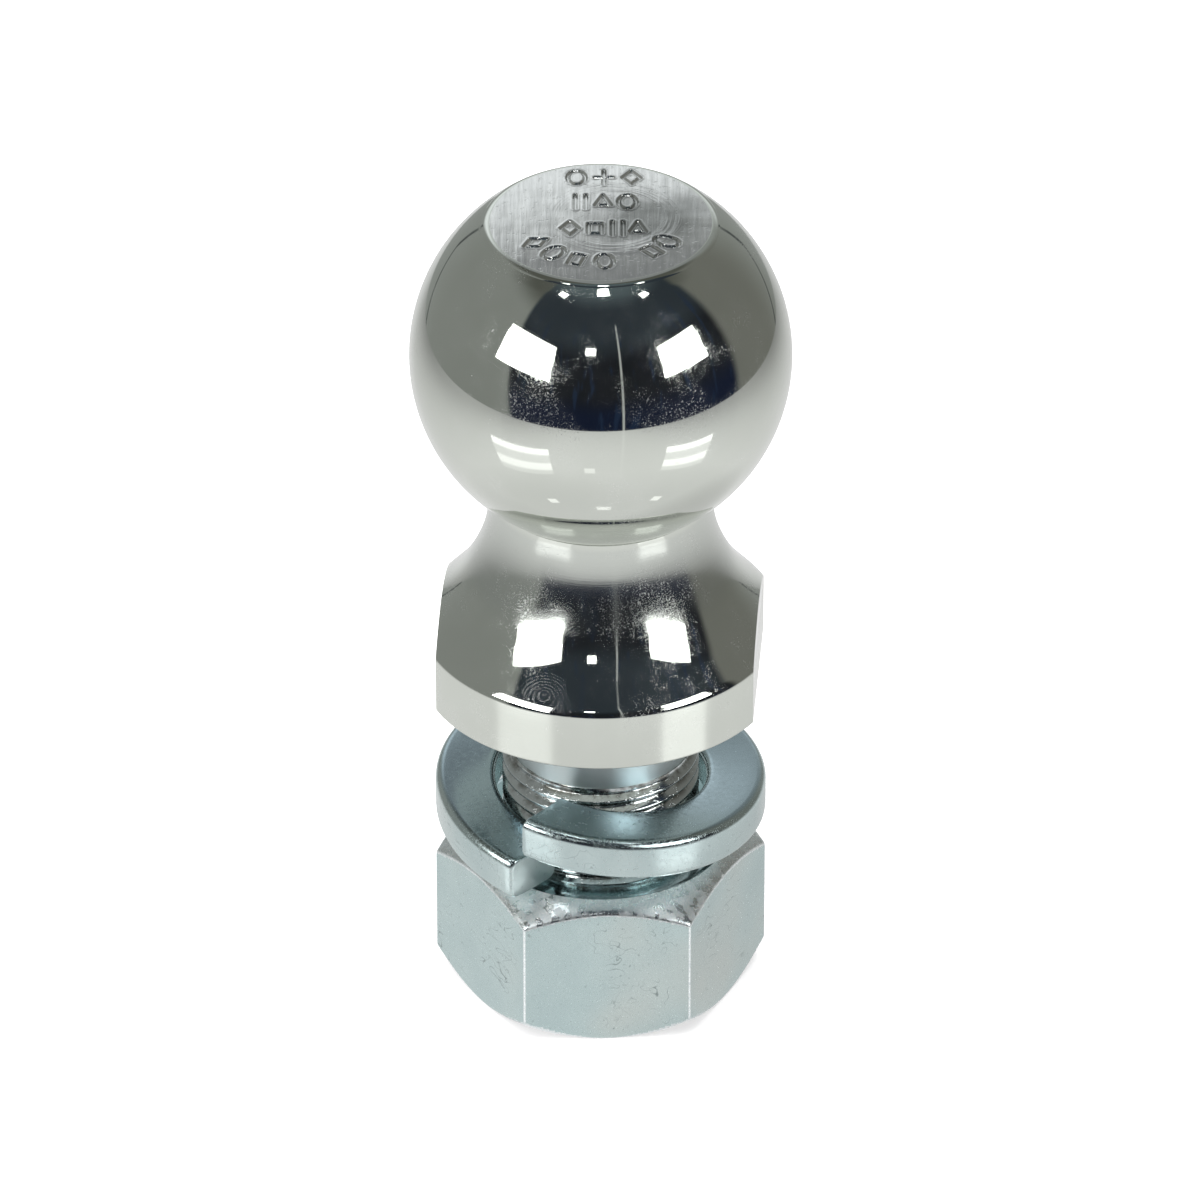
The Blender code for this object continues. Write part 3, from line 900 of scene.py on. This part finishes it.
def studio_dark(nodes, elevation):
    """The dark middle's colour, paler upward."""
    low, level = (0.010, 0.015, 0.036), (0.014, 0.016, 0.020)
    above, high = (0.034, 0.043, 0.054), (0.105, 0.135, 0.150)
    dark = nodes.mix(nodes.ramp(elevation, -8.0, 8.0), low, level)
    dark = nodes.mix(nodes.ramp(elevation, 24.0, 40.0), dark, above)
    return nodes.mix(nodes.ramp(elevation, 56.0, 72.0), dark, high)


def make_world():
    """Plain white for the camera; a dim studio with a dark middle for the reflections."""
    world = bpy.data.worlds.new("studio")
    bpy.context.scene.world = world
    world.use_nodes = True
    world.node_tree.nodes.clear()
    nodes = Nodes(world.node_tree)
    x, y, z = nodes.xyz(nodes.add("ShaderNodeTexCoord", out=0))
    azimuth = nodes.times(nodes.math("ARCTAN2", x, nodes.times(y, -1.0)), 180 / math.pi)
    elevation = nodes.times(nodes.math("ARCSINE", z), 180 / math.pi)
    off_back = nodes.minus(180.0, nodes.math("ABSOLUTE", azimuth))
    lean = nodes.plus(azimuth, nodes.times(elevation, 0.175))
    left_side = nodes.ramp(lean, -57.5, -53.5)
    right_side = nodes.ramp(azimuth, 83.0, 90.0, 1.0, 0.0)
    middle = nodes.times(left_side, right_side)
    walls = studio_walls(nodes, azimuth, elevation, off_back)
    surround = nodes.mix(middle, walls, studio_dark(nodes, elevation))
    # behind: paler above, and a soft light lower down that stands higher on the left
    behind = nodes.ramp(off_back, 20.0, 36.0, 1.0, 0.0)
    above = nodes.times(behind, nodes.ramp(elevation, 30.0, 46.0))
    surround = nodes.mix(above, surround, (0.30, 0.31, 0.32))
    back = nodes.times(behind, nodes.ramp(elevation, 4.0, 22.0))
    sloped = nodes.plus(elevation, nodes.times(x, 34.0))
    back = nodes.times(back, nodes.ramp(sloped, 20.0, 40.0, 1.0, 0.0))
    surround = nodes.mix(back, surround, (1.05, 1.09, 1.12))
    # a thin dark seam far behind on either side
    sunk = nodes.math("MAXIMUM", nodes.minus(-3.0, elevation), 0.0)
    seam = nodes.plus(nodes.minus(nodes.math("ABSOLUTE", azimuth), 148.0),
                      nodes.times(sunk, 1.2))
    seam = nodes.ramp(nodes.math("ABSOLUTE", seam), 0.5, 1.4, 0.8, 0.0)
    seam = nodes.times(seam, nodes.ramp(elevation, 4.0, 14.0, 1.0, 0.0))
    surround = nodes.mix(seam, surround, (0.04, 0.045, 0.05))
    # blurred upright things that stand in the dark middle
    things = nodes.combine(nodes.times(azimuth, 0.16), nodes.times(elevation, 0.035), 0.0)
    things = nodes.noise(things, 1.0, 2.0, 0.6)
    things = nodes.times(nodes.ramp(things, 0.56, 0.68), middle)
    things = nodes.times(things, nodes.ramp(elevation, 30.0, 55.0, 1.0, 0.0))
    surround = nodes.mix(nodes.times(things, 0.7), surround, (0.020, 0.036, 0.078))
    # narrow upright strip a little right of the middle
    strip = nodes.math("ABSOLUTE", nodes.minus(azimuth, 13.0))
    strip = nodes.ramp(strip, 0.40, 0.85, 1.0, 0.0)
    strip = nodes.times(strip, nodes.ramp(elevation, 46.0, 50.0, 1.0, 0.0))
    surround = nodes.mix(strip, surround, (0.55, 0.56, 0.56))
    seen = nodes.add("ShaderNodeLightPath", out=0)
    colour = nodes.mix(seen, surround, (1.0, 1.0, 1.0))
    shine = nodes.add("ShaderNodeBackground", {"Color": colour, "Strength": 1.0})
    output = nodes.tree.nodes.new("ShaderNodeOutputWorld")
    nodes.tree.links.new(shine, output.inputs["Surface"])


def make_floor():
    """The floor the camera sees is plain and matt; the one the metal sees is a glowing, glossy table
    with painted shade.
    """
    material = bpy.data.materials.new("floor")
    material.use_nodes = True
    shader = material.node_tree.nodes["Principled BSDF"]
    shader.inputs["Base Color"].default_value = (0.93, 0.93, 0.93, 1.0)
    shader.inputs["Roughness"].default_value = 0.9
    shader.inputs["Specular IOR Level"].default_value = 0.0
    shader.inputs["Emission Color"].default_value = (1.0, 1.0, 1.0, 1.0)
    shader.inputs["Emission Strength"].default_value = 0.35
    floor = plane("floor", 3.0, 3.0, material)
    floor.visible_glossy = False
    floor.visible_diffuse = False
    table_glow, nodes, glow = glow_material("table", (0.96, 0.96, 0.96), 1.0)
    x, y, _ = nodes.xyz(nodes.add("ShaderNodeTexCoord", out=3))
    # painted shade: the table is darker behind the object and to its sides
    behind = nodes.ramp(y, -0.10, 0.24)
    aside = nodes.ramp(nodes.math("ABSOLUTE", x), 0.06, 0.34)
    dim = nodes.plus(nodes.times(behind, 0.30), nodes.times(aside, 0.38))
    # the object shades the table beside and behind it, more at its right
    for away, depth in ((0.030, 0.30), (-0.030, 0.18)):
        off = nodes.reach(nodes.minus(x, away), nodes.minus(y, 0.012))
        dim = nodes.math("MAXIMUM", dim, nodes.ramp(off, 0.015, 0.075, depth, 0.0))
    dim = nodes.math("MAXIMUM", dim, nodes.ramp(nodes.reach(x, y), 0.05, 0.13, 0.14, 0.0))
    colour = nodes.mix(dim, (1.02, 1.015, 1.02), (0.0, 0.0, 0.0))
    nodes.tree.links.new(colour, glow.node.inputs["Color"])
    fresnel = nodes.add("ShaderNodeFresnel", {"IOR": 1.5})
    mirror = nodes.add("ShaderNodeBsdfGlossy", {"Color": (1, 1, 1, 1), "Roughness": 0.02})
    mixed = nodes.tree.nodes.new("ShaderNodeMixShader")
    nodes.tree.links.new(fresnel, mixed.inputs[0])
    nodes.tree.links.new(glow, mixed.inputs[1])
    nodes.tree.links.new(mirror, mixed.inputs[2])
    output = next(n for n in nodes.tree.nodes if n.type == "OUTPUT_MATERIAL")
    nodes.tree.links.new(mixed.outputs[0], output.inputs["Surface"])
    table = disc("table", TABLE_R, table_glow)
    table.visible_camera = False
    table.visible_shadow = False


def make_lights():
    """Two softboxes, four small lamps, and plain fills that the metal doesn't mirror."""
    # azimuth, elevation, half width and half height in degrees; distance in metres; strength
    lamp("softbox_left", -49, 22, 17, 10, 0.56, 11.0, bars=True)
    lamp("softbox_right", 54, 21, 14, 9, 0.56, 13.0, bars=True)
    lamp("lamp_left", -48, 62, 2.2, 1.8, 0.95, 14.0)
    lamp("lamp_middle", 4, 70, 3.0, 1.8, 0.95, 14.0)
    lamp("lamp_right", 54, 60, 2.2, 1.8, 0.95, 14.0)
    lamp("lamp_spot", -7, 33, 2.8, 2.0, 0.9, 6.0)
    fills = ((-0.5, -0.4, 1.2, 13.0), (0.5, -0.4, 1.2, 13.0), (0.0, 0.6, 1.4, 14.0))
    for x, y, size, power in fills:
        light = bpy.data.lights.new("floor_fill", "AREA")
        light.shape = "DISK"
        light.size = size
        light.energy = power
        fill = bpy.data.objects.new("floor_fill", light)
        bpy.context.collection.objects.link(fill)
        fill.location = (x, y, 1.0)
        fill.rotation_euler = (Vector((0, 0, 0)) - fill.location).to_track_quat("-Z", "Y").to_euler()
        fill.visible_glossy = False


def make_camera():
    camera_data = bpy.data.cameras.new("camera")
    camera_data.lens = CAMERA_LENS
    camera_data.sensor_width = CAMERA_SENSOR
    camera_data.shift_x = CAMERA_SHIFT
    camera = bpy.data.objects.new("camera", camera_data)
    bpy.context.collection.objects.link(camera)
    camera.location = (0, -CAMERA_BACK, BALL_Z + CAMERA_ABOVE_BALL)
    camera.rotation_euler = (math.pi / 2 - CAMERA_DIP, 0, 0)
    bpy.context.scene.camera = camera


# =============================== build ===============================
bpy.context.scene.view_settings.view_transform = "Standard"
make_camera()
make_world()
make_floor()
make_lights()

chrome = chrome_material()
thread_finish = thread_material()
zinc_light, zinc_dark = (0.580, 0.700, 0.695), (0.530, 0.650, 0.650)
facet_zinc = zinc_material("zinc_facets", zinc_light, zinc_dark, 0.25, 2400.0, 0.8e-6, pink=0.9)
face_zinc = zinc_material("zinc_face", zinc_light, zinc_dark, 0.12, 1600.0, 1.0e-6,
                          scratches=0.4, top_shade=0.4)
washer_light, washer_dark = (0.570, 0.670, 0.665), (0.500, 0.600, 0.600)
washer_zinc = zinc_material("zinc_washer", washer_light, washer_dark, 0.22, 1500.0, 2.5e-6,
                            scratches=0.6, pink=0.3, top_shade=1.0)
cut_zinc = zinc_material("zinc_cut", washer_light, washer_dark, 0.45, 1500.0, 2.5e-6, scratches=0.3)
rough_zinc = sparkle_material()

forging = make_forging(chrome, ground_material())
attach(forging, "ball_shank")
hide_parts("ball_shank")

thread = make_thread(thread_finish)
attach(thread, "ball_shank")

washer = make_washer(washer_zinc, cut_zinc)
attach(washer, "lock_washer")
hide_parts("lock_washer")

nut = make_nut(facet_zinc, face_zinc, rough_zinc, face_zinc)
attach(nut, "hex_nut")
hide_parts("hex_nut")
